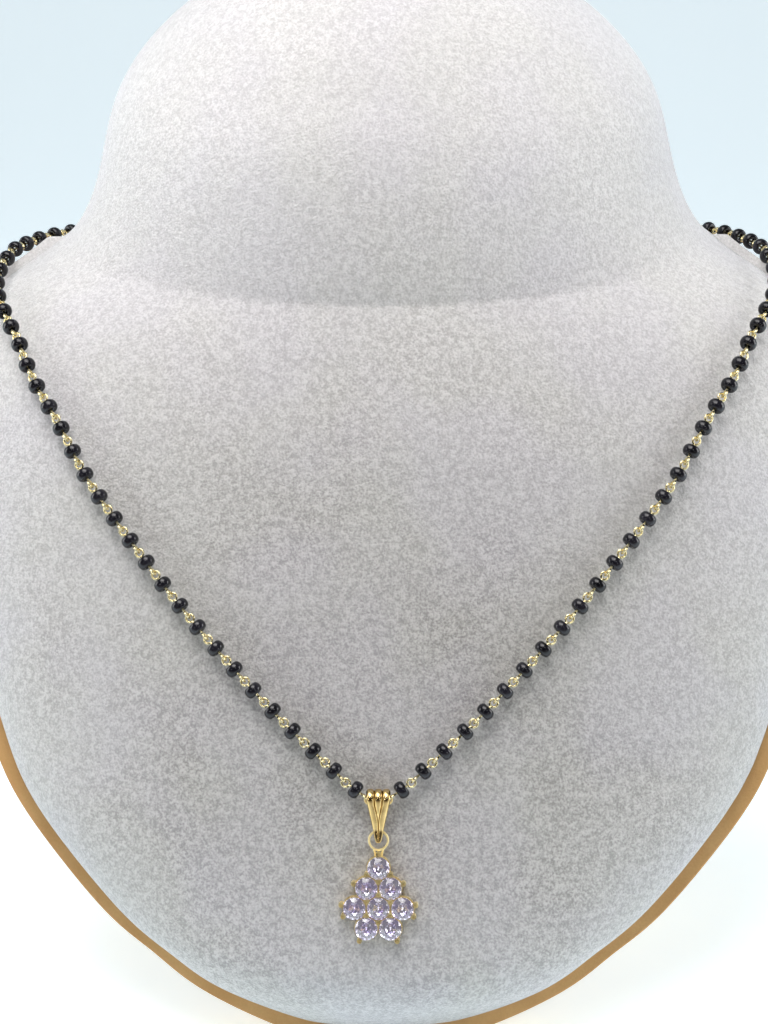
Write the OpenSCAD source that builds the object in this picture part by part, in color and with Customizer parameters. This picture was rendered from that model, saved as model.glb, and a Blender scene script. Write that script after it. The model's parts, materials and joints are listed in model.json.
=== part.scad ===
// Short black-bead necklace with a stone pendant, on a velvet neck bust.
// Millimetres, +Z up, the front towards -Y, the origin on the table under the middle of the whole object.

/* [Neck bust] */
// Height of the bust, from the table to the top of the neck
bust_h = 167; // [150:1:185]
// Width of the velvet across the shoulders
bust_w = 144; // [130:1:158]
// Depth of the neck, front to back
neck_d = 72; // [64:1:80]
// How far the tan rim stands out past the velvet
rim = 2.6; // [1.5:0.1:4]
// Thickness of the tan board behind the velvet
board_t = 8; // [5:0.5:12]
// How far the board leans back from upright, in degrees
lean = 25.5; // [22:0.5:29]
// How much lower the collar line is at the front than at the sides
collar_drop = 7.5; // [4:0.5:10]
// Half width of the support block's foot
foot_w = 33; // [26:1:40]

/* [Chain] */
// Diameter of a black bead
bead_d = 2.75; // [2.5:0.05:3]
// Length of a bead along the chain
bead_l = 1.8; // [1.7:0.05:2.1]
// Diameter of the chain's gold wire
wire_d = 0.32; // [0.28:0.02:0.36]
// Outer diameter of a link's eye
eye_d = 1.6; // [1.5:0.05:1.7]
// Length that two linked eyes overlap
eye_overlap = 0.9; // [0.85:0.05:0.95]
// Clearance of a bead's hole round the wire
hole_clear = 0.15; // [0.12:0.01:0.2]
// Gap between the beads and the velvet
chain_gap = 0.25; // [0.2:0.05:0.5]
// Length of the plain barrel clasp
clasp_l = 8; // [6:0.5:12]
// Diameter of the barrel clasp
clasp_d = 3; // [2.6:0.1:3.1]

/* [Bail] */
// Width of the bail at the top
bail_w = 3.6; // [3.2:0.1:4.2]
// Width of the bail where the drop's ring hangs
bail_neck_w = 1.5; // [1.2:0.1:1.8]
// Distance from the chain's axis to the drop's hinge
bail_l = 4.7; // [4.2:0.1:5.5]
// Thickness of the bail's strap
strap_t = 0.5; // [0.4:0.05:0.6]
// Inner radius of the bail round the chain
bail_r = 1.15; // [1.1:0.05:1.3]
// Length of the tongue below the drop's hinge
tongue_l = 1.75; // [1.4:0.05:2]

/* [Pendant] */
// Diameter of a stone
stone_d = 3.4; // [3.2:0.05:3.5]
// Spacing of the stones in a row
stone_pitch = 3.6; // [3.6:0.05:4]
// Spacing of the rows
row_pitch = 3; // [3:0.05:3.4]
// Height of the crown above the girdle
crown_h = 0.55; // [0.4:0.05:0.7]
// Depth of the stone below the girdle
pavilion_h = 1.25; // [1:0.05:1.3]
// Thickness of the setting's base
base_t = 0.55; // [0.4:0.05:0.6]
// Diameter of a hollow prong
prong_d = 0.8; // [0.75:0.05:0.9]
// Diameter of the drop's ring, at the middle of its wire
ring_d = 2.84; // [2.6:0.02:3.2]
// Diameter of the ring's wire
ring_wire_d = 0.34; // [0.3:0.02:0.4]
// Distance from the ring's middle to the top stone's middle
ring_to_stone = 4.15; // [4.1:0.05:4.6]
// Gap between the pendant's back and the velvet
pendant_gap = 0.4; // [0.3:0.05:0.8]

/* [Hidden] */

velvet = "gainsboro";
suede = "peru";
gold = "gold";
black = [0.05, 0.05, 0.06];
crystal = "lavender";

fit_gap = 0.2;
round_fn = 48;
wire_fn = 40;
bead_step = 15;

// The velvet's sections from the table up, as shares of the sizes above.
// Columns: height, half width, reach of the front from the rim's plane.
SECTIONS = [
    [0.020, 0.16, 0.06], [0.032, 0.25, 0.15], [0.058, 0.39, 0.33], [0.087, 0.485, 0.46],
    [0.115, 0.58, 0.51], [0.170, 0.705, 0.56], [0.220, 0.80, 0.60], [0.270, 0.855, 0.64],
    [0.350, 0.92, 0.71], [0.436, 0.97, 0.776], [0.513, 0.997, 0.836], [0.577, 1.00, 0.89],
    [0.628, 0.982, 0.93], [0.673, 0.903, 0.967], [0.700, 0.81, 0.985], [0.7275, 0.734, 1.0],
    [0.760, 0.69, 1.0], [0.800, 0.66, 0.99], [0.853, 0.63, 0.955], [0.900, 0.57, 0.87],
    [0.945, 0.463, 0.70], [0.975, 0.34, 0.51], [0.993, 0.20, 0.30], [1.0, 0.06, 0.09]];

// The support block's sections.
// Columns: height, half width as a share of the foot's, back as a share of the neck's.
SUPPORT = [
    [0.0, 1.0, 0.80], [0.05, 1.0, 0.80], [0.2, 1.13, 0.85], [0.4, 1.4, 0.93], [0.52, 1.66, 0.98],
    [0.6, 2.05, 1.0], [0.72, 2.4, 1.0]];

// The chain's route on the bust, from the pendant to the middle of the back.
// Columns: angle round the bust from the front, height as a share of the bust's.
ROUTE = [
    [0, 0.255], [3.4, 0.2615], [12, 0.3125], [19, 0.3615], [26, 0.415], [32.5, 0.469], [39, 0.523],
    [45.3, 0.5825], [54, 0.638], [64, 0.666], [75, 0.6825], [88, 0.6945], [110, 0.7035], [140, 0.7065],
    [180, 0.7065]];

rim_start_y = -7.5;
board_gap = 0.1;
board_foot = 0.6;
ledge_z = 0.72 * bust_h;
ledge_t = 0.5;
side_n = 24;

// A smooth curve through rows a, b, c and d, at the share s from b to c
function curve(a, b, c, d, s) =
    0.5 * (2 * b + (c - a) * s + (2 * a - 5 * b + 4 * c - d) * s * s + (3 * b - a - 3 * c + d) * s * s * s);
function unit(v) = v / norm(v);

// The sections in millimetres, with one more between each two rows
last_row = len(SECTIONS) - 1;
section_size = [bust_h, bust_w / 2, neck_d / 2];
function section_row(i) = SECTIONS[min(max(i, 0), last_row)];
function section_at(i, s) = [for (k = [0:2])
    section_size[k]
        * curve(section_row(i - 1), section_row(i), section_row(i + 1), section_row(i + 2), s)[k]];
rings = concat([for (i = [0:last_row - 1]) for (s = [0, 0.5]) section_at(i, s)], [section_at(last_row, 0)]);
half_widths = [for (r = rings) [r[0], r[1]]];
reaches = [for (r = rings) [r[0], r[2]]];
drops = [[0.55 * bust_h, 0], [0.7275 * bust_h, collar_drop], [0.9 * bust_h, collar_drop], [bust_h, 0]];

function half_width(z) = lookup(z, half_widths);
function reach(z) = lookup(z, reaches);
function rim_y(z) = rim_start_y + min(z, ledge_z) * tan(lean);
function velvet_point(z, t) = [half_width(z) * sin(t), rim_y(z) - reach(z) * cos(t),
                               z - lookup(z, drops) * max(0, cos(t))];

// The tan support's back, which the chain lies on behind the shoulders
neck_back_y = rim_y(ledge_z) + neck_d / 2;
support_widths = [for (r = SUPPORT) [r[0] * bust_h, r[1] * foot_w]];
support_backs = [for (r = SUPPORT) [r[0] * bust_h, r[2] * neck_back_y]];
function support_width(z) = min(max(half_width(z) + rim, foot_w), lookup(z, support_widths));
function support_reach(z) = lookup(z, support_backs) - rim_y(z);

// What carries the chain: the velvet in front, then the rim and the tan back
rim_from = 45;
rim_to = 80;
function ease(s) = s <= 0 ? 0 : s >= 1 ? 1 : s * s * (3 - 2 * s);
function carrier(z, t) = let (side = rim * ease((t - rim_from) / (rim_to - rim_from)),
                              w = half_width(z) + side,
                              depth = t < 90 ? reach(z) : support_reach(z))
    [w * sin(t), rim_y(z) - depth * cos(t), z - lookup(z, drops) * max(0, cos(t))];
normal_step = 3;
function carrier_normal(z, t) = unit(cross(carrier(z, t + normal_step) - carrier(z, t - normal_step),
                                           carrier(z + normal_step, t) - carrier(z - normal_step, t)));

// The chain's axis: the route, lifted off its carrier, and a little more where the bail goes round it
bead_lift = bead_d / 2 + chain_gap;
bail_lift = bail_r + strap_t + pendant_gap;
lift_to = 9;
route_last = len(ROUTE) - 1;
function route_row(i) = i < 0 ? [-ROUTE[-i][0], ROUTE[-i][1]] :
    i > route_last ? [360 - ROUTE[2 * route_last - i][0], ROUTE[2 * route_last - i][1]] : ROUTE[i];
function route_at(u) = let (i = min(floor(u), route_last - 1))
    curve(route_row(i - 1), route_row(i), route_row(i + 1), route_row(i + 2), u - i);
function axis_at(u) = let (r = route_at(u), z = r[1] * bust_h,
                           lift = bail_lift + (bead_lift - bail_lift) * ease(r[0] / lift_to))
    carrier(z, r[0]) + lift * carrier_normal(z, r[0]);
function normal_at(u) = let (r = route_at(u)) carrier_normal(r[1] * bust_h, r[0]);

route_step = 0.125;
axis_points = [for (u = [0:route_step:route_last]) axis_at(u)];
function lengths(i = 0, sum = 0) = i == len(axis_points) ? [] :
    let (s = i == 0 ? 0 : sum + norm(axis_points[i] - axis_points[i - 1]))
    concat([[s, i * route_step]], lengths(i + 1, s));
route_lengths = lengths();
half_loop = route_lengths[len(route_lengths) - 1][0];

// A bead's place: its middle, and the directions along the chain and out of the bust
eye_gap = 0.1;
eye_at = bead_l / 2 + eye_gap + eye_d / 2;
eye_r = (eye_d - wire_d) / 2;
first_bead = 3.75;
clasp_eye_at = clasp_l / 2 + eye_r;
eye_step = eye_d - eye_overlap;
beads_len = half_loop - first_bead - eye_at - eye_step - clasp_eye_at;
wanted_pitch = 2 * eye_at + eye_step;
last_bead = round(beads_len / wanted_pitch);
pitch = beads_len / last_bead;
function row_at(s) = lookup(s, route_lengths);
function place(k) = let (s = first_bead + k * pitch,
                         a = unit(axis_at(row_at(s + eye_at)) - axis_at(row_at(s - eye_at))),
                         n = normal_at(row_at(s)))
    [axis_at(row_at(s)), a, unit(n - (n * a) * a)];
places = [for (k = [0:last_bead]) place(k)];

// Where the bail hangs: the straight link between the two lowest beads
centre_eye = places[0][0] - (eye_at + eye_step) * places[0][1];
centre_eye_at = centre_eye[0];
bar = [0, centre_eye[1], centre_eye[2]];

// The pendant's depths behind the drop's hinge, and before it where they are negative
base_y = 1.1;
cup_y = 0.2;
girdle_y = -0.25;
girdle_t = 0.1;
prong_tip_y = -0.64;

// The slope that the pendant lies along, from the velvet at the bar and below the last row of stones
rows = [[0], [-0.5, 0.5], [-1, 0, 1], [-0.5, 0.5]];
top_stone = -ring_d / 2 - ring_to_stone;
pendant_end = bail_l - top_stone + 3 * row_pitch + stone_d / 2;
slope_top = velvet_point(bar[2], 0);
slope_end = velvet_point(bar[2] - pendant_end, 0);
slope = atan2(slope_top[1] - slope_end[1], slope_top[2] - slope_end[2]);
bar_lift = [0, -cos(slope), sin(slope)] * (bar - slope_top);
hinge_lift = pendant_gap + base_y;
hinge_in = bar_lift - hinge_lift;
drop_pin = bar + bail_l * [0, -sin(slope), -cos(slope)] + hinge_in * [0, cos(slope), -sin(slope)];

// The whole object's middle, front to back, is where the origin is
clasp_place = axis_at(route_last);
back_y = clasp_place[1] + clasp_d / 2;
stone_front = crown_h + girdle_t - girdle_y;
table_r = 0.28 * stone_d;
front_y = drop_pin[1] - stone_front * cos(slope) + (top_stone - 3 * row_pitch - table_r) * sin(slope);
middle_y = (front_y + back_y) / 2;

module centred() { translate([0, -middle_y, 0]) children(); }

// Triangles between closed rings of the same number of points, with a flat cap at each end
module skin(loops) {
    n = len(loops[0]);
    m = len(loops);
    sides = [for (i = [0:m - 2]) for (j = [0:n - 1]) let (a = i * n + j, b = i * n + (j + 1) % n)
             for (f = [[a, a + n, b], [b, a + n, b + n]]) f];
    polyhedron(points = [for (loop = loops) for (p = loop) p],
               faces = concat([[for (j = [0:n - 1]) j]], sides,
                              [[for (j = [n - 1:-1:0]) (m - 1) * n + j]]));
}

// A ring of the velvet: the front half, and a flat back up to the ledge or a round one above it
function velvet_loop(z) = let (back = z < ledge_z ? 0 : reach(z))
    [for (j = [0:2 * side_n - 1]) let (t = 180 * j / side_n)
     cos(t) >= 0 ? velvet_point(z, t) : [half_width(z) * sin(t), rim_y(z) - back * cos(t), z]];

module neck_bust() {
    low = [for (r = rings) if (r[0] < ledge_z - ledge_t) r[0]];
    high = [for (r = rings) if (r[0] > ledge_z) r[0]];
    color(velvet) centred() skin([for (z = concat(low, [ledge_z - ledge_t, ledge_z], high)) velvet_loop(z)]);
}

// The board's outline on its leaning face: the velvet's, grown by the rim, at the shoulders only sideways
module backing_outline() {
    zs = concat([for (r = rings) if (r[0] < ledge_z) r[0]], [ledge_z]);
    right = [for (z = zs) [half_width(z), z / cos(lean)]];
    n = len(right);
    grown = [for (i = [0:n - 1])
             let (step = right[min(i + 1, n - 1)] - right[max(i - 1, 0)], d = unit([max(step[0], 0), step[1]]))
             right[i] + rim * [d[1], -d[0]]];
    half = concat([[board_foot * grown[0][0], 0]], grown);
    polygon(concat(half, [for (i = [len(half) - 1:-1:0]) [-half[i][0], half[i][1]]]));
}

module bust_backing() {
    size = 3 * bust_w;
    color(suede) centred() intersection() {
        translate([0, rim_start_y + board_gap / cos(lean), 0]) rotate([90 - lean, 0, 0]) mirror([0, 0, 1])
            linear_extrude(height = board_t) backing_outline();
        translate([-size / 2, -size / 2, 0]) cube([size, size, ledge_z - ledge_t - fit_gap]);
    }
}

// The support block: the neck's back carried down to a foot, and its front against the board
foot_front_y = 0.28 * neck_back_y;
function support_loop(z) = let (c = rim_y(z), b = support_reach(z), w = support_width(z),
                                front = max(c + (board_t + fit_gap) / cos(lean), foot_front_y),
                                from = asin((front - c) / b))
    [for (j = [0:side_n]) let (t = 90 + from + (180 - 2 * from) * j / side_n)
     [w * sin(t), c - b * cos(t), z]];

module bust_support() {
    top = ledge_z - ledge_t - fit_gap;
    zs = concat([0], [for (s = [0.1:0.1:0.5]) s * bust_h],
                [for (r = rings) if (r[0] > 0.55 * bust_h && r[0] < top) r[0]], [top]);
    color(suede) centred() skin([for (z = zs) support_loop(z)]);
}

// Children turned so that X runs along the chain, Y across it and Z out of the bust
module at_place(p, side) {
    along = [side * p[1][0], p[1][1], p[1][2]];
    out = [side * p[2][0], p[2][1], p[2][2]];
    across = cross(out, along);
    multmatrix([[along[0], across[0], out[0], side * p[0][0]],
                [along[1], across[1], out[1], p[0][1]],
                [along[2], across[2], out[2], p[0][2]],
                [0, 0, 0, 1]]) children();
}

module eye() {
    rotate_extrude($fn = round_fn) translate([eye_r, 0]) circle(d = wire_d, $fn = wire_fn);
}

// A wire with an eye at each end: one lies flat on the bust, the other stands on edge
module wire_link(reach_x) {
    translate([reach_x, 0, 0]) eye();
    translate([-reach_x, 0, 0]) rotate([90, 0, 0]) eye();
    bar_l = 2 * (reach_x - eye_r);
    translate([-bar_l / 2, 0, 0]) rotate([0, 90, 0]) cylinder(h = bar_l, d = wire_d, $fn = wire_fn);
}

module chain_links() {
    color(gold) centred() for (side = [-1, 1]) for (p = places) at_place(p, side) wire_link(eye_at);
}

// A drilled bead: its outside is round in steps, so that each step is a true cone
module bead() {
    hole_r = wire_d / 2 + hole_clear;
    end = bead_l / 2;
    outside = [for (a = [-90:bead_step:90]) [bead_d / 2 - end, 0] + end * [cos(a), sin(a)]];
    rotate([0, 90, 0]) rotate_extrude($fn = round_fn) polygon(concat(outside, [[hole_r, end], [hole_r, -end]]));
}

module chain_beads() {
    color(black) centred() for (side = [-1, 1]) for (p = places) at_place(p, side) bead();
}

// The beads' pins end in flat and standing eyes, so this link's eyes are the other way round
module centre_link() {
    bar_l = 2 * (centre_eye_at - eye_r);
    color(gold) centred() translate(bar) rotate([-slope, 0, 0]) {
        for (x = [-1, 1]) translate([x * centre_eye_at, 0, 0]) rotate([90, 0, 0]) eye();
        translate([-bar_l / 2, 0, 0]) rotate([0, 90, 0]) cylinder(h = bar_l, d = wire_d, $fn = wire_fn);
    }
}

module clasp() {
    color(gold) centred() translate(clasp_place) {
        rotate([0, 90, 0]) cylinder(h = clasp_l, d = clasp_d, center = true, $fn = round_fn);
        for (x = [-1, 1]) translate([x * clasp_eye_at, 0, 0]) eye();
    }
}

module on_slope(p) { centred() translate(p) rotate([-slope, 0, 0]) children(); }

ring_clear = 0.33;
groove_r = 0.13;
groove_in = 0.2;
tip_r = 0.25;

// A strap's side: round r_top at the chain, round r_low at the drop's hinge, and straight between them
module strap_side(r_top, r_low, width) {
    span = norm([bail_l, hinge_in]);
    turn = atan2(hinge_in, bail_l);
    swing = asin((r_top - r_low) / span);
    low = [hinge_in, -bail_l];
    down = unit(low);
    side = [-down[1], down[0]];
    corners = [for (c = [[[0, 0], r_top, 1], [low, r_low, 1], [low, r_low, -1], [[0, 0], r_top, -1]])
               c[0] + c[1] * (c[2] * cos(swing) * side + sin(swing) * down)];
    rotate([0, 90, 0]) cylinder(h = width, r = r_top, center = true, $fn = round_fn);
    translate([0, hinge_in, -bail_l]) rotate([0, 90, 0])
        cylinder(h = width, r = r_low, center = true, $fn = round_fn);
    rotate([90, 0, 90]) translate([0, 0, -width / 2]) linear_extrude(height = width) polygon(corners);
}

module bail() {
    low_r = ring_wire_d / 2 + ring_clear;
    outer_low = low_r + strap_t;
    outer_top = bail_r + strap_t;
    front_y_low = hinge_in - outer_low;
    tip = bail_l + tongue_l;
    groove_x = bail_w / 6;
    face_h = norm([bail_l, front_y_low + outer_top]);
    color(gold) on_slope(bar) difference() {
        intersection() {
            union() {
                strap_side(outer_top, outer_low, bail_w);
                translate([-bail_w / 2, front_y_low, -tip])
                    cube([bail_w, strap_t, tongue_l + outer_low / 2]);
            }
            rotate([90, 0, 0]) translate([0, 0, -4 * outer_top]) linear_extrude(height = 8 * outer_top)
                polygon([[-bail_w / 2, 2 * outer_top], [-bail_w / 2, 0], [-bail_neck_w / 2, -bail_l],
                         [-bail_neck_w / 3, -tip + tip_r], [-bail_neck_w / 6, -tip],
                         [bail_neck_w / 6, -tip], [bail_neck_w / 3, -tip + tip_r],
                         [bail_neck_w / 2, -bail_l], [bail_w / 2, 0], [bail_w / 2, 2 * outer_top]]);
        }
        strap_side(bail_r, low_r, 2 * bail_w);
        for (side = [-1, 1]) {
            rotate([0, 90, 0]) translate([0, 0, side * groove_x]) rotate_extrude($fn = round_fn)
                translate([outer_top, 0]) circle(r = groove_r, $fn = wire_fn);
            translate([side * groove_x, -outer_top, 0])
                rotate([atan2(front_y_low + outer_top, bail_l), 0, 0])
                rotate([0, atan2(side * (groove_x - groove_in), face_h), 0])
                translate([0, 0, -face_h]) cylinder(h = face_h, r = groove_r, $fn = wire_fn);
        }
    }
}

// The stones' places, from the drop's hinge
seat_clear = 0.05;
girdle_clear = 0.12;
prong_r = prong_d / 2;
prong_hole_r = 0.2 * prong_d;
prong_hole_l = 0.3;
cup_r = 0.45 * stone_d;
cup_t = 0.2;
window_r = 0.34 * stone_d;
plate_overlap = 0.04;
function stone_spot(r, c) = [c * stone_pitch, top_stone - r * row_pitch];
stone_spots = [for (r = [0:3]) for (c = rows[r]) stone_spot(r, c)];
// Distance of a prong's middle from a stone's, where three stones meet round it
prong_at = (stone_pitch * stone_pitch / 4 + row_pitch * row_pitch) / (2 * row_pitch);
// The prongs. Columns: row of the stone, its place in the row, direction from the stone in degrees
PRONGS = [
    [0, 0, 90], [0, 0, -28], [0, 0, 208], [0, 0, 270], [2, 0, 90], [2, 0, 270],
    [1, -0.5, 160], [1, 0.5, 20], [1, -0.5, 270], [1, 0.5, 270], [3, -0.5, 90], [3, 0.5, 90],
    [2, -1, 165], [2, 1, 15], [2, -1, 215], [2, 1, -35], [3, -0.5, 240], [3, 0.5, 300]];
prong_spots = [for (p = PRONGS) stone_spot(p[0], p[1]) + prong_at * [cos(p[2]), sin(p[2])]];

// A round bar from one depth to another, seen from the front at spot
module upright(spot, from_y, to_y, r) {
    translate([spot[0], from_y, spot[1]]) rotate([90, 0, 0])
        cylinder(h = from_y - to_y, r = r, $fn = round_fn);
}

module rod(p, q, d) {
    v = q - p;
    translate(p) rotate([0, acos(v[2] / norm(v)), atan2(v[1], v[0])])
        cylinder(h = norm(v), d = d, $fn = wire_fn);
}

// Where the two stays meet the ring, from its lowest point
stay_turn = 30;

module pendant_setting() {
    seat_r = stone_d / 2 + seat_clear;
    plate_r = max(norm([stone_pitch / 2, row_pitch]), stone_pitch) / 2 + plate_overlap;
    color(gold) on_slope(drop_pin) {
        difference() {
            union() {
                for (s = stone_spots) upright(s, base_y, base_y - base_t, plate_r);
                for (s = stone_spots) upright(s, base_y, cup_y, cup_r);
                for (s = prong_spots) upright(s, base_y, prong_tip_y, prong_r);
            }
            for (s = stone_spots) {
                upright(s, base_y + 1, 0, window_r);
                upright(s, base_y - base_t, 0, cup_r - cup_t);
                upright(s, girdle_y + girdle_clear, girdle_y - girdle_t - girdle_clear, seat_r);
            }
            for (s = prong_spots) upright(s, prong_tip_y + prong_hole_l, prong_tip_y - 1, prong_hole_r);
        }
        translate([0, 0, -ring_d / 2]) rotate([90, 0, 0]) rotate_extrude($fn = round_fn)
            translate([ring_d / 2, 0]) circle(d = ring_wire_d, $fn = wire_fn);
        for (x = [-1, 1])
            rod([x * ring_d / 2 * sin(stay_turn), 0, -ring_d / 2 * (1 + cos(stay_turn))],
                [x * prong_r, base_y - base_t / 2, top_stone + cup_r], ring_wire_d);
    }
}

star_r = 0.39 * stone_d;
star_h = 0.6 * crown_h;
keel_r = 0.225 * stone_d;
keel_h = 0.62 * pavilion_h;

// A round brilliant: table, star, kite and upper girdle facets, girdle, and the pavilion's facets to a point
module brilliant() {
    r = stone_d / 2;
    top = girdle_t + crown_h;
    function ring8(radius, z, turn) = [for (k = [0:7]) let (a = 45 * k + turn)
                                       [radius * cos(a), radius * sin(a), z]];
    function ring16(z) = [for (k = [0:15]) [r * cos(22.5 * k), r * sin(22.5 * k), z]];
    table = 0;
    star = 8;
    upper = 16;
    lower = 32;
    keel = 48;
    points = concat(ring8(table_r, top, 0), ring8(star_r, girdle_t + star_h, 22.5), ring16(girdle_t),
                    ring16(0), ring8(keel_r, -keel_h, 0), [[0, 0, -pavilion_h]]);
    faces = concat(
        [[for (k = [7:-1:0]) table + k]],
        [for (k = [0:7]) let (n = (k + 1) % 8, g = 2 * k, h = 2 * k + 1, i = (2 * k + 2) % 16)
         for (f = [[table + k, table + n, star + k],
                   [table + k, star + k, upper + g], [table + n, upper + i, star + k],
                   [star + k, upper + h, upper + g], [star + k, upper + i, upper + h],
                   [upper + g, upper + h, lower + h, lower + g],
                   [upper + h, upper + i, lower + i, lower + h],
                   [keel + k, lower + g, lower + h], [keel + n, lower + h, lower + i],
                   [keel + k, lower + h, keel + n], [keel + k, keel + n, keel + 8]]) f]);
    polyhedron(points = points, faces = faces);
}

module stone(number) {
    spot = stone_spots[number - 1];
    color(crystal) on_slope(drop_pin) translate([spot[0], girdle_y, spot[1]]) rotate([90, 0, 0])
        brilliant();
}

neck_bust();
bust_backing();
bust_support();
chain_links();
chain_beads();
centre_link();
clasp();
bail();
pendant_setting();
stone(1);  // stone_1
stone(2);  // stone_2
stone(3);  // stone_3
stone(4);  // stone_4
stone(5);  // stone_5
stone(6);  // stone_6
stone(7);  // stone_7
stone(8);  // stone_8
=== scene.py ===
"""The looks of a short black-bead necklace with a stone pendant, worn by a velvet neck bust."""

import json
import math

import bmesh
import bpy
import numpy as np
from mathutils import Matrix, Vector, noise


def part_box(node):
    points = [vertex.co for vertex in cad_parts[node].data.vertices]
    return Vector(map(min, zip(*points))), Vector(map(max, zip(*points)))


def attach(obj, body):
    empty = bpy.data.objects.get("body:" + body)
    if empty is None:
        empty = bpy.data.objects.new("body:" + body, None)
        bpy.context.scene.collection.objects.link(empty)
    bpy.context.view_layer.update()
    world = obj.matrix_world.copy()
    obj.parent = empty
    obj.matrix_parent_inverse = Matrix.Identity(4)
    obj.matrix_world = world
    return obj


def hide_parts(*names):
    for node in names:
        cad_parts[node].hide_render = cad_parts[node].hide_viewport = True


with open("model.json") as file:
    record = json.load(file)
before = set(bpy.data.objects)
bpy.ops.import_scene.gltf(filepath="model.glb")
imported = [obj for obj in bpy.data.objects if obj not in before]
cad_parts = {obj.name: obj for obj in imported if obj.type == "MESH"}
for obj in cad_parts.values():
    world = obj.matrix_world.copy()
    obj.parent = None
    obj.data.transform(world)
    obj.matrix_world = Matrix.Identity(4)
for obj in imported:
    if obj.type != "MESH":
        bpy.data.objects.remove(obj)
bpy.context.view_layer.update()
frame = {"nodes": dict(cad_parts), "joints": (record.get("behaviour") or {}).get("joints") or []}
nodes = frame["nodes"]
MM = 0.001
ACROSS = Vector((1, 0, 0))


def mid(node):
    low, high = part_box(node)
    return (low + high) / 2


# The slope that the pendant lies along, and where the bail and the drop hang
joints = {joint["name"]: Vector(joint["pos_m"]) for joint in frame["joints"]}
BAR = joints["bail_swing"]
DROP_PIN = joints["drop_swing"]
DOWN = ((mid("stone_7") + mid("stone_8")) / 2 - mid("stone_1")).normalized()
OUT = DOWN.cross(ACROSS)
OUT = OUT if OUT.y < 0 else -OUT


# Materials

# Painted shade: the velvet is painted darker round this point, in full out to the first distance and fading
# out by the second
CHEST_MIDDLE = (0, -0.045, 0.045)
PAINTED_SHADE_FROM, PAINTED_SHADE_TO = 25 * MM, 100 * MM
# Above these heights the velvet is folded over the board and the stand
BOARD_LIP = 104 * MM
STAND_LIP = 117 * MM


class Shader:
    """A material of one Principled shader, with helpers that add procedural detail to it."""

    def __init__(self, name, **settings):
        self.material = bpy.data.materials.new(name)
        self.material.use_nodes = True
        self.tree = self.material.node_tree
        self.bsdf = self.tree.nodes["Principled BSDF"]
        for key, value in settings.items():
            self.bsdf.inputs[key.replace("_", " ")].default_value = value
        self.coordinates = self.tree.nodes.new("ShaderNodeTexCoord").outputs["Object"]

    def put(self, kind, inputs=(), **settings):
        node = self.tree.nodes.new(kind)
        for key, value in settings.items():
            setattr(node, key, value)
        for key, value in dict(inputs).items():
            if isinstance(value, bpy.types.NodeSocket):
                self.tree.links.new(value, node.inputs[key])
            else:
                node.inputs[key].default_value = value
        return node

    def noise(self, size, detail=3.0, rough=0.5, stretch=(1, 1, 1), shift=(0, 0, 0), turn=(0, 0, 0)):
        """Noise whose blotches are about size metres across."""
        place = self.put("ShaderNodeMapping", {"Vector": self.coordinates, "Scale": stretch,
                                               "Location": shift, "Rotation": turn})
        return self.put("ShaderNodeTexNoise", {"Vector": place.outputs[0], "Scale": 1 / size,
                                               "Detail": detail, "Roughness": rough}).outputs["Fac"]

    def spread(self, value, low, high, to_low=0.0, to_high=1.0):
        return self.put("ShaderNodeMapRange", {"Value": value, "From Min": low, "From Max": high,
                                               "To Min": to_low, "To Max": to_high}).outputs[0]

    def add(self, a, b, share=1.0):
        return self.put("ShaderNodeMath", {0: b, 1: share, 2: a}, operation="MULTIPLY_ADD").outputs[0]

    def blend(self, factor, a, b):
        node = self.put("ShaderNodeMix", {0: factor}, data_type="RGBA")
        for socket, value in ((node.inputs[6], a), (node.inputs[7], b)):
            if isinstance(value, bpy.types.NodeSocket):
                self.tree.links.new(value, socket)
            else:
                socket.default_value = (*value, 1)
        return node.outputs[2]

    def set(self, key, value):
        self.tree.links.new(value, self.bsdf.inputs[key])

    def bump(self, height, distance, strength=1.0, under=None):
        inputs = {"Height": height, "Distance": distance, "Strength": strength}
        if under is not None:
            inputs["Normal"] = under
        normal = self.put("ShaderNodeBump", inputs).outputs[0]
        self.set("Normal", normal)
        return normal


def velvet():
    s = Shader("velvet", Roughness=0.9, Sheen_Weight=0.7, Sheen_Roughness=0.4,
               Specular_IOR_Level=0.1, Sheen_Tint=(0.93, 0.97, 1.0, 1))
    pile = s.noise(0.36 * MM, detail=3, rough=0.55)
    tufts = s.noise(1.0 * MM, detail=4, rough=0.62, shift=(3, 1, 2))
    nap = s.noise(16 * MM, detail=3, shift=(1, 5, 2))
    tint = s.noise(22 * MM, detail=2, shift=(7, 2, 4))
    # Painted shade: round the pendant the velvet is painted darker and more uneven; the neck and shoulders
    # keep the plain tone
    apart = s.put("ShaderNodeVectorMath", {0: s.coordinates, 1: CHEST_MIDDLE}, operation="DISTANCE")
    painted_shade = s.spread(apart.outputs["Value"], PAINTED_SHADE_FROM, PAINTED_SHADE_TO, 1.0, 0.0)
    tips = s.spread(s.add(pile, tufts, 0.8), 0.74, 1.06)
    plain_velvet = s.blend(tips, (0.58, 0.57, 0.57), (0.79, 0.78, 0.78))
    # flat is the darker tone of the painted shade
    flat = s.blend(tips, (0.30, 0.288, 0.275), (0.57, 0.555, 0.535))
    tone = s.blend(painted_shade, plain_velvet, flat)
    tone = s.blend(s.spread(nap, 0.35, 0.65, 0, 0.2), tone, (0.60, 0.605, 0.58))
    tone = s.blend(s.spread(tint, 0.4, 0.6, 0, 0.12), tone, (0.62, 0.58, 0.74))
    s.set("Base Color", tone)
    under = s.bump(tufts, 0.25 * MM, 0.6)
    s.bump(pile, 0.25 * MM, 0.8, under)
    return s.material


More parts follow.
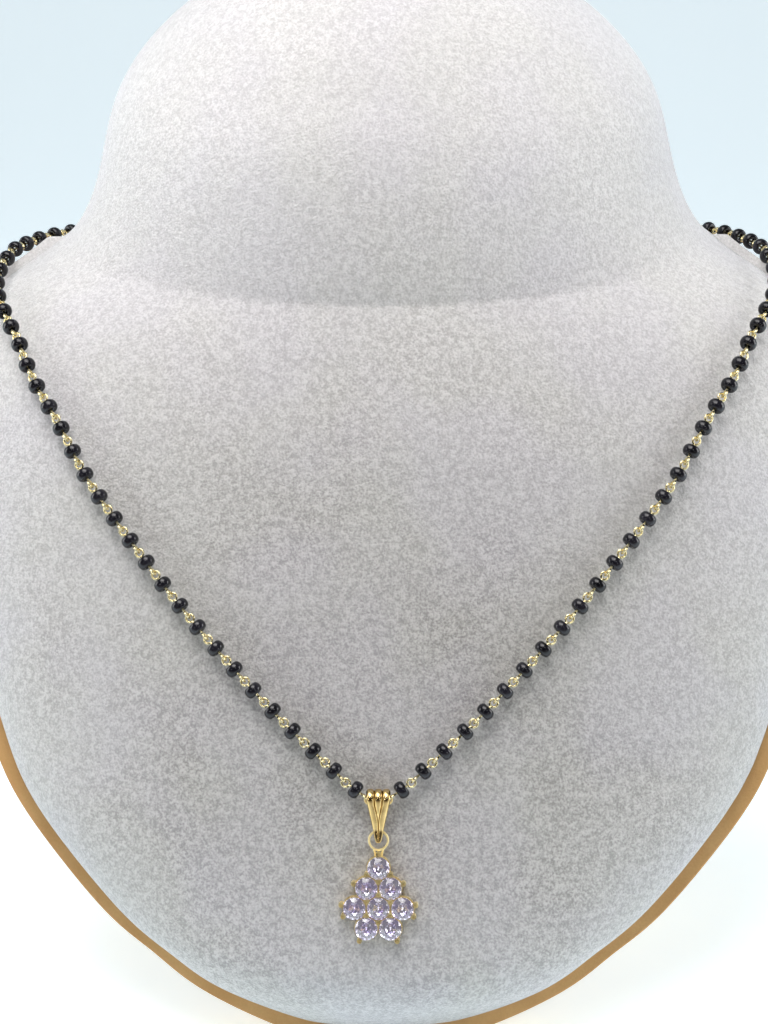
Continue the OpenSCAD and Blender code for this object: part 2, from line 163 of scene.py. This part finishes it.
def suede(name, lip_height):
    """Tan cloth, with the bust's velvet folded over it above a height."""
    s = Shader(name, Roughness=0.9, Sheen_Weight=0.35, Sheen_Roughness=0.4, Specular_IOR_Level=0.2)
    grain = s.noise(0.35 * MM, detail=4, rough=0.6)
    rub = s.noise(9 * MM, detail=4, rough=0.6, stretch=(1, 1, 0.6))
    tone = s.blend(s.spread(rub, 0.3, 0.7), (0.56, 0.32, 0.125), (0.66, 0.41, 0.18))
    tone = s.blend(s.spread(grain, 0.3, 0.7, 0, 0.3), tone, (0.46, 0.25, 0.095))
    lip = s.blend(s.spread(grain, 0.3, 0.7), (0.52, 0.51, 0.51), (0.74, 0.73, 0.73))
    height = s.put("ShaderNodeSeparateXYZ", {0: s.coordinates}).outputs["Z"]
    tone = s.blend(s.spread(height, lip_height, lip_height + 0.4 * MM), tone, lip)
    s.set("Base Color", tone)
    under = s.bump(rub, 0.3 * MM, 0.3)
    s.bump(grain, 0.12 * MM, 0.6, under)
    return s.material


def gold(name, rough, dull, bright, metallic=1.0, glow=0.0):
    # Painted light: with glow above nought the gold gives off a little light in its bright tone
    s = Shader(name, Metallic=metallic, Roughness=rough, Emission_Strength=glow, Emission_Color=(*bright, 1))
    wear = s.noise(0.9 * MM, detail=4, rough=0.6)
    marks = s.noise(0.16 * MM, detail=2, stretch=(1, 1, 0.2))
    tone = s.blend(s.spread(wear, 0.3, 0.7), dull, bright)
    s.set("Base Color", tone)
    s.set("Roughness", s.add(s.spread(wear, 0.3, 0.7, rough * 0.7, rough * 1.4), marks, 0.08))
    s.bump(marks, 0.004 * MM, 0.4)
    return s.material


def black_glass():
    s = Shader("black_glass", Roughness=0.08, Specular_IOR_Level=0.4)
    dust = s.noise(0.5 * MM, detail=4, rough=0.6)
    cloud = s.noise(2.5 * MM, detail=2)
    tone = s.blend(s.spread(cloud, 0.35, 0.65), (0.004, 0.004, 0.006), (0.014, 0.013, 0.019))
    s.set("Base Color", tone)
    s.set("Roughness", s.spread(dust, 0.3, 0.7, 0.04, 0.14))
    s.bump(dust, 0.01 * MM, 0.3)
    return s.material


def crystal():
    # Painted light: the stones glow faintly lilac
    s = Shader("crystal", Roughness=0.0, IOR=2.0, Transmission_Weight=1.0, Emission_Strength=0.05,
               Emission_Color=(0.8, 0.76, 0.95, 1))
    fire = s.noise(1.3 * MM, detail=1)
    tone = s.blend(s.spread(fire, 0.40, 0.62), (0.96, 0.95, 0.98), (0.72, 0.60, 1.0))
    s.set("Base Color", tone)
    polish = s.noise(0.05 * MM, detail=1)
    s.set("Roughness", s.spread(polish, 0.3, 0.7, 0.0, 0.03))
    return s.material


# Mesh helpers

def piece(name, points, faces, material, body):
    """A smooth-shaded mesh object that moves with a body."""
    mesh = bpy.data.meshes.new(name)
    mesh.from_pydata([tuple(p) for p in points], [], [tuple(int(i) for i in f) for f in faces])
    mesh.validate()
    mesh.update()
    mesh.shade_smooth()
    obj = bpy.data.objects.new(name, mesh)
    bpy.context.scene.collection.objects.link(obj)
    mesh.materials.append(material)
    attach(obj, body)
    return obj


def grid_faces(rows, columns, closed_rows=False):
    """Quads between neighbouring rings of points; each ring is closed."""
    last = rows if closed_rows else rows - 1
    r, c = np.meshgrid(np.arange(last), np.arange(columns), indexing="ij")
    a, b = r * columns + c, r * columns + (c + 1) % columns
    up = ((r + 1) % rows) * columns
    return np.stack([a, b, up + (c + 1) % columns, up + c], -1).reshape(-1, 4)


class Parts:
    """Points and faces gathered from several shapes into one mesh."""

    def __init__(self):
        self.points = []
        self.faces = []
        self.count = 0

    def add(self, points, faces):
        points = np.asarray(points, float).reshape(-1, 3)
        self.points.append(points)
        self.faces += [[int(i) + self.count for i in f] for f in faces]
        self.count += len(points)

    def piece(self, name, material, body, slot):
        return piece(name, np.concatenate(self.points), self.faces, material, body)


def unit(v):
    v = np.asarray(v, float)
    return v / np.linalg.norm(v)


def tube(path, radius, sides=10, closed=False):
    """A round wire along a path, with its frame carried along without twist."""
    path = np.asarray(path, float)
    n = len(path)
    if closed:
        tangents = np.roll(path, -1, 0) - np.roll(path, 1, 0)
    else:
        tangents = np.gradient(path, axis=0)
    tangents /= np.linalg.norm(tangents, axis=1)[:, None]
    seed = np.eye(3)[np.argmin(np.abs(tangents[0]))]
    normal = unit(np.cross(tangents[0], seed))
    angles = np.arange(sides) * 2 * math.pi / sides
    rings = []
    for i in range(n):
        normal = unit(normal - tangents[i] * (normal @ tangents[i]))
        side = np.cross(tangents[i], normal)
        rings.append(path[i] + radius * (np.cos(angles)[:, None] * normal + np.sin(angles)[:, None] * side))
    faces = grid_faces(n, sides, closed).tolist()
    if not closed:
        faces += [list(range(sides - 1, -1, -1)), list(range((n - 1) * sides, n * sides))]
    return np.concatenate(rings), faces


def revolve(profile, centre, axis, sides):
    """A closed (radius, height) profile turned round an axis through a point."""
    axis = unit(axis)
    u = unit(np.cross(axis, np.eye(3)[np.argmin(np.abs(axis))]))
    v = np.cross(axis, u)
    angles = np.arange(sides) * 2 * math.pi / sides
    around = np.cos(angles)[:, None] * u + np.sin(angles)[:, None] * v
    rings = [np.asarray(centre) + r * around + h * axis for r, h in profile]
    return np.concatenate(rings), grid_faces(len(profile), sides, True)


def patches(obj):
    """The points of each surface of a node: a surface's points follow each other, joined by edges."""
    mesh = obj.data
    co = np.zeros(len(mesh.vertices) * 3)
    mesh.vertices.foreach_get("co", co)
    ends = np.zeros(len(mesh.edges) * 2, np.int64)
    mesh.edges.foreach_get("vertices", ends)
    ends = np.sort(ends.reshape(-1, 2), axis=1)
    last = np.arange(len(mesh.vertices))
    np.maximum.at(last, ends[:, 0], ends[:, 1])
    reach = np.maximum.accumulate(last)
    cuts = np.flatnonzero(reach == np.arange(len(reach))) + 1
    return np.split(co.reshape(-1, 3), cuts[:-1])


def middle(points):
    return (points.min(0) + points.max(0)) / 2


def flat_normal(points):
    """The direction that a flat ring of points faces."""
    around = points - points.mean(0)
    return np.linalg.eigh(around.T @ around)[1][:, 0]


def subdivided(name, bm, levels):
    """A mesh of the form with its flat facets turned into a soft surface; creased edges stay."""
    mesh = bpy.data.meshes.new(name)
    bm.to_mesh(mesh)
    bm.free()
    obj = bpy.data.objects.new(name, mesh)
    bpy.context.scene.collection.objects.link(obj)
    modifier = obj.modifiers.new("smooth", "SUBSURF")
    modifier.levels = modifier.render_levels = levels
    bpy.context.view_layer.update()
    done = bpy.data.meshes.new_from_object(obj.evaluated_get(bpy.context.evaluated_depsgraph_get()))
    obj.modifiers.clear()
    obj.data = done
    done.materials.clear()
    return obj


def crease(bm, over, amount):
    layer = bm.edges.layers.float.get("crease_edge") or bm.edges.layers.float.new("crease_edge")
    for edge in bm.edges:
        if len(edge.link_faces) == 2 and edge.calc_face_angle(0) > math.radians(over):
            edge[layer] = amount


def smooth_copy(node, name, material, levels, merge=0.01 * MM, crease_over=None, ripple=0.0):
    """A node's own form with its flat triangles smoothed into a soft surface."""
    bm = bmesh.new()
    bm.from_mesh(nodes[node].data)
    bmesh.ops.remove_doubles(bm, verts=bm.verts, dist=merge)
    bmesh.ops.join_triangles(bm, faces=bm.faces, angle_face_threshold=math.radians(40),
                             angle_shape_threshold=math.radians(60))
    if crease_over is not None:
        crease(bm, crease_over, 0.7)
    obj = subdivided(name, bm, levels)
    done = obj.data
    moved = [v.co + v.normal * ripple * noise.noise(v.co / (18 * MM)) for v in done.vertices]
    done.vertices.foreach_set("co", np.array(moved).ravel())
    done.update()
    done.materials.append(material)
    done.shade_smooth()
    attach(obj, "display")
    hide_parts(node)
    return obj


# The bust

def bevelled_board(material):
    """The tan board: its own outline, with the cloth's soft round edges."""
    bm = bmesh.new()
    bm.from_mesh(nodes["bust_backing"].data)
    bmesh.ops.remove_doubles(bm, verts=bm.verts, dist=0.01 * MM)
    bmesh.ops.dissolve_limit(bm, angle_limit=math.radians(1), verts=bm.verts, edges=bm.edges)
    crease(bm, 50, 1.0)
    obj = subdivided("suede_board", bm, 2)
    bm = bmesh.new()
    bm.from_mesh(obj.data)
    sharp = [e for e in bm.edges if len(e.link_faces) == 2 and e.calc_face_angle(0) > math.radians(50)]
    bmesh.ops.bevel(bm, geom=sharp, offset=0.8 * MM, offset_type="OFFSET", segments=4, profile=0.5,
                    affect="EDGES", clamp_overlap=True)
    bm.to_mesh(obj.data)
    bm.free()
    obj.data.shade_smooth()
    obj.data.materials.append(material)
    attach(obj, "display")
    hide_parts("bust_backing")
    return obj


# The chain

WIRE_R = 0.185 * MM
EYE_R = 0.615 * MM
BEAD_R = 1.36 * MM
BEAD_HALF = 0.82 * MM
HOLE_R = 0.31 * MM


def link_patches():
    """Each link's surfaces on the frame, as points: its outer eye, its pin and its inner eye."""
    rings = patches(nodes["chain_links"])
    return [rings[i:i + 3] for i in range(0, len(rings), 3)]


def bead_profile():
    """A bead's section on one side of its hole: an oval from the outside to the hole's wall."""
    n = 20
    ring_r = (BEAD_R + HOLE_R) / 2
    half = (BEAD_R - HOLE_R) / 2
    points = []
    for k in range(n):
        a = 2 * math.pi * k / n
        points.append((ring_r + half * math.cos(a), BEAD_HALF * math.sin(a)))
    return points


def bead_places():
    """Each bead's middle and axis, from the pins that the beads sit on."""
    for outer, _, inner in link_patches():
        ends = middle(outer), middle(inner)
        yield (ends[0] + ends[1]) / 2, ends[0] - ends[1]


def beads(material):
    parts = Parts()
    profile = bead_profile()
    for centre, axis in bead_places():
        parts.add(*revolve(profile, centre, axis, 24))
    obj = parts.piece("black_beads", material, "display", "black_bead")
    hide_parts("chain_beads")
    return obj


def eye_path(start, centre, plane_up):
    """A wire loop: it leaves the pin at start and bends into a circle round centre, up to its own start."""
    along = unit(centre - start)
    up = unit(plane_up - along * (plane_up @ along))
    circle = [centre + EYE_R * (math.cos(a) * along + math.sin(a) * up)
              for a in np.radians(np.linspace(-128, 168, 22))]
    first, tangent = circle[0], unit(circle[1] - circle[0])
    lead = 0.3 * MM
    bezier = []
    for t in np.linspace(0, 1, 6)[:-1]:
        p0, p1, p2, p3 = start, start + along * lead, first - tangent * lead, first
        bezier.append((1 - t) ** 3 * p0 + 3 * (1 - t) ** 2 * t * p1 + 3 * (1 - t) * t * t * p2 + t ** 3 * p3)
    return bezier + circle


def wire_link(parts, eyes, ups):
    """One link: the pin through the bead and the loop at each of its ends."""
    centre = (eyes[0] + eyes[1]) / 2
    halves = []
    for eye, up in zip(eyes, ups):
        back = unit(centre - eye)
        start = eye + back * (EYE_R + 0.22 * MM)
        halves.append(eye_path(start, eye, up))
    path = halves[0][::-1] + halves[1]
    parts.add(*tube(path, WIRE_R, 8))


def chain_wire(material):
    parts = Parts()
    for outer, _, inner in link_patches():
        eyes = [middle(outer), middle(inner)]
        along = unit(eyes[0] - eyes[1])
        wire_link(parts, eyes, [np.cross(flat_normal(ring), along) for ring in (outer, inner)])
    obj = parts.piece("chain_wire", material, "display", "gold")
    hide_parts("chain_links")
    return obj


# The bail

# The strap's width at the chain and at the drop's ring, its thickness, and its bends' radii there
BAIL_W = 3.6 * MM
BAIL_NECK_W = 1.5 * MM
STRAP_T = 0.42 * MM
TOP_R = 1.42 * MM
LOW_R = 0.72 * MM
TONGUE_L = 1.75 * MM
RIB_H = 0.30 * MM
RIB_POINTS = 7


def slope_point(origin, x, out, down):
    return np.array(origin + ACROSS * x + OUT * out + DOWN * down)


def bail_path():
    """The strap's middle line, as (distance out, distance down) from the chain's bar."""
    low = ((DROP_PIN - BAR).dot(OUT), (DROP_PIN - BAR).dot(DOWN))
    span = math.hypot(*low)
    aim = math.atan2(low[0], low[1])
    open_angle = math.asin((TOP_R - LOW_R) / span)

    def arc(centre, radius, start, end, count):
        return [(centre[0] + radius * math.sin(a), centre[1] + radius * math.cos(a))
                for a in np.linspace(start, end, count)]

    right = math.pi / 2
    front = aim + right + open_angle
    back = aim - right - open_angle
    under = arc(low, LOW_R, aim + 0.4 * right, aim - right - open_angle, 9)
    top = arc((0, 0), TOP_R, back, front - 2 * math.pi, 25)
    tip = (low[0] + LOW_R * math.sin(front), low[1] + TONGUE_L)
    path = under + top + [(low[0] + LOW_R * math.sin(front), low[1] + LOW_R * math.cos(front)), tip]
    out = []
    for a, b in zip(path, path[1:]):
        length = math.hypot(b[0] - a[0], b[1] - a[1])
        steps = max(1, round(length / (0.16 * MM)))
        out += [(a[0] + (b[0] - a[0]) * k / steps, a[1] + (b[1] - a[1]) * k / steps) for k in range(steps)]
    return out + [path[-1]]


def bail(material):
    path = np.array(bail_path())
    for _ in range(3):
        path[1:-1] = (path[:-2] + 2 * path[1:-1] + path[2:]) / 4
    n = len(path)
    tangents = np.gradient(path, axis=0)
    tangents /= np.linalg.norm(tangents, axis=1)[:, None]
    outward = np.stack([tangents[:, 1], -tangents[:, 0]], 1)
    hinge_down = (DROP_PIN - BAR).dot(DOWN)
    tip_down = hinge_down + TONGUE_L
    join_down = 0.74 * hinge_down
    rows = []
    for (out, down), normal in zip(path, outward):
        share = min(max(down / hinge_down, 0), 1)
        half = (BAIL_W + (BAIL_NECK_W - BAIL_W) * share) / 2
        if down > hinge_down:
            left = (tip_down - down) / TONGUE_L
            half *= 0.30 + 0.70 * math.sqrt(max(left, 0))
        groove = half / 3 * min(1, max(0.02, (join_down - down) / (0.75 * join_down)))
        height = RIB_H * (half / (BAIL_W / 2)) ** 0.5
        outer = []
        for low, high in ((-half, -groove), (-groove, groove), (groove, half)):
            crown = height * min(1, (high - low) / (0.5 * MM))
            for t in np.linspace(0, 1, RIB_POINTS):
                outer.append((low + (high - low) * t, crown * math.sqrt(max(0, 1 - (2 * t - 1) ** 2))))
        inner = [(x, -STRAP_T / 2) for x in np.linspace(half, -half, 5)]
        section = [(x, STRAP_T / 2 - height + h) for x, h in outer] + inner
        rows.append([slope_point(BAR, x, out + normal[0] * h, down + normal[1] * h) for x, h in section])
    columns = len(rows[0])
    points = np.concatenate([np.array(r) for r in rows])
    faces = grid_faces(n, columns).tolist()
    faces += [list(range(columns - 1, -1, -1)), list(range((n - 1) * columns, n * columns))]
    obj = piece("ribbed_bail", points, faces, material, "bail")
    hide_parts("bail")
    return obj


# Stage, light and camera

def stage():
    """Pale paper that curves up behind the bust, in the photographer's shadow in front of it."""
    floor_mesh = bpy.data.meshes.new("floor")
    size, rise, behind, curve_r, n = 3.0, 1.6, 0.9, 0.6, 24
    profile = [(-size, 0.0)]
    for k in range(n + 1):
        a = math.pi / 2 * k / n
        profile.append((behind + curve_r * math.sin(a), curve_r * (1 - math.cos(a))))
    profile.append((behind + curve_r, rise))
    points = [(x, y, z) for y, z in profile for x in (-size, size)]
    faces = [(2 * i, 2 * i + 1, 2 * i + 3, 2 * i + 2) for i in range(len(profile) - 1)]
    floor_mesh.from_pydata(points, [], faces)
    floor_mesh.shade_smooth()
    floor = bpy.data.objects.new("floor", floor_mesh)
    bpy.context.scene.collection.objects.link(floor)
    s = Shader("paper", Roughness=0.8, Specular_IOR_Level=0.2, Emission_Strength=0.6)
    grain = s.noise(3 * MM, detail=3)
    tone = s.blend(s.spread(grain, 0.3, 0.7), (0.78, 0.88, 0.93), (0.81, 0.90, 0.94))
    depth = s.put("ShaderNodeSeparateXYZ", {0: s.coordinates}).outputs["Y"]
    # Painted shadow: in front of the bust the paper's colour and its glow are painted dark
    tone = s.blend(s.spread(depth, -0.24, -0.09), (0.13, 0.10, 0.08), tone)
    s.set("Base Color", tone)
    s.set("Emission Color", tone)
    floor_mesh.materials.append(s.material)


def area_light(name, place, target, size, power, colour=(1, 1, 1)):
    data = bpy.data.lights.new(name, "AREA")
    data.shape = "RECTANGLE"
    data.size, data.size_y = size
    data.energy = power
    data.color = colour
    light = bpy.data.objects.new(name, data)
    light.location = place
    light.rotation_euler = (Vector(target) - Vector(place)).to_track_quat("-Z", "Y").to_euler()
    bpy.context.scene.collection.objects.link(light)


# The camera stands a little to the right and looks down on the chest
CAMERA_TURN = math.radians(1.7)
CAMERA_PITCH = math.radians(14.4)
CAMERA_ROLL = math.radians(-0.4)
CAMERA_AIM = Vector((0.78, -35.53, 84.1)) * MM
CAMERA_DISTANCE = 314 * MM
PHOTO_H = 1024
FOCAL_PX = 2092


def camera():
    data = bpy.data.cameras.new("camera")
    data.sensor_fit = "VERTICAL"
    data.angle = 2 * math.atan(PHOTO_H / 2 / FOCAL_PX)
    data.clip_start = 0.01
    obj = bpy.data.objects.new("camera", data)
    level = math.cos(CAMERA_PITCH)
    toward = Vector((-math.sin(CAMERA_TURN) * level, math.cos(CAMERA_TURN) * level, -math.sin(CAMERA_PITCH)))
    obj.location = CAMERA_AIM - CAMERA_DISTANCE * toward
    look = toward.to_track_quat("-Z", "Y").to_matrix()
    obj.rotation_euler = (look @ Matrix.Rotation(CAMERA_ROLL, 3, "Z")).to_euler()
    bpy.context.scene.collection.objects.link(obj)
    bpy.context.scene.camera = obj


def room():
    """Pale light from above and the sides, and a darker room on the side that the front looks at."""
    world = bpy.data.worlds.new("room")
    bpy.context.scene.world = world
    world.use_nodes = True
    tree = world.node_tree
    background = tree.nodes["Background"]
    coordinates = tree.nodes.new("ShaderNodeTexCoord")
    dot = tree.nodes.new("ShaderNodeVectorMath")
    dot.operation = "DOT_PRODUCT"
    dot.inputs[1].default_value = (0, -0.97, 0.24)
    tree.links.new(coordinates.outputs["Generated"], dot.inputs[0])
    ramp = tree.nodes.new("ShaderNodeValToRGB")
    ramp.color_ramp.elements[0].position = 0.4
    ramp.color_ramp.elements[0].color = (0.95, 0.96, 1.0, 1)
    ramp.color_ramp.elements[1].position = 0.86
    ramp.color_ramp.elements[1].color = (0.10, 0.09, 0.09, 1)
    tree.links.new(dot.outputs["Value"], ramp.inputs[0])
    tree.links.new(ramp.outputs[0], background.inputs["Color"])
    background.inputs["Strength"].default_value = 0.19


def main():
    cloth = velvet()
    board_tan, stand_tan = suede("board_suede", BOARD_LIP), suede("stand_suede", STAND_LIP)
    warm_gold = gold("warm_gold", 0.17, (0.62, 0.43, 0.17), (0.82, 0.61, 0.28))
    # Painted light: the setting's satin gold glows a little
    satin_gold = gold("satin_gold", 0.28, (0.92, 0.73, 0.34), (1.0, 0.85, 0.46), metallic=0.88, glow=0.06)
    pale_gold = gold("pale_gold", 0.2, (0.80, 0.69, 0.37), (0.93, 0.83, 0.53))
    jet, gem = black_glass(), crystal()
    smooth_copy("neck_bust", "velvet_form", cloth, 2, crease_over=60, ripple=0.15 * MM)
    bevelled_board(board_tan)
    smooth_copy("bust_support", "suede_stand", stand_tan, 1, crease_over=50, ripple=0.1 * MM)
    beads(jet)
    chain_wire(pale_gold)
    bail(warm_gold)
    for name in ("centre_link", "clasp", "pendant_setting"):
        nodes[name].data.materials.clear()
        nodes[name].data.materials.append(satin_gold)
    for number in range(1, 9):
        mesh = nodes[f"stone_{number}"].data
        mesh.materials.clear()
        mesh.materials.append(gem)
    stage()
    room()
    area_light("top", (-0.08, -0.12, 0.6), (0, 0, 0.1), (0.5, 0.3), 1.7, (1.0, 0.985, 0.97))
    area_light("key", (-0.04, -0.17, 0.34), (0, -0.03, 0.12), (0.25, 0.15), 0.46, (1.0, 0.98, 0.97))
    area_light("left", (-0.7, 0.0, 0.22), (0, 0, 0.08), (0.3, 0.5), 2.05)
    area_light("right", (0.7, 0.0, 0.22), (0, 0, 0.08), (0.3, 0.5), 2.45)
    # Small lights in front, for the sparkle in the stones and on the gold
    glints = [(-0.22, -0.4, 0.16), (0.16, -0.36, 0.3), (0.3, -0.42, 0.1), (-0.1, -0.5, 0.42)]
    for k, place in enumerate(glints):
        area_light(f"glint_{k}", place, (0, -0.05, 0.035), (0.03, 0.03), 0.08)
    camera()
    bpy.context.scene.view_settings.view_transform = "Standard"


main()
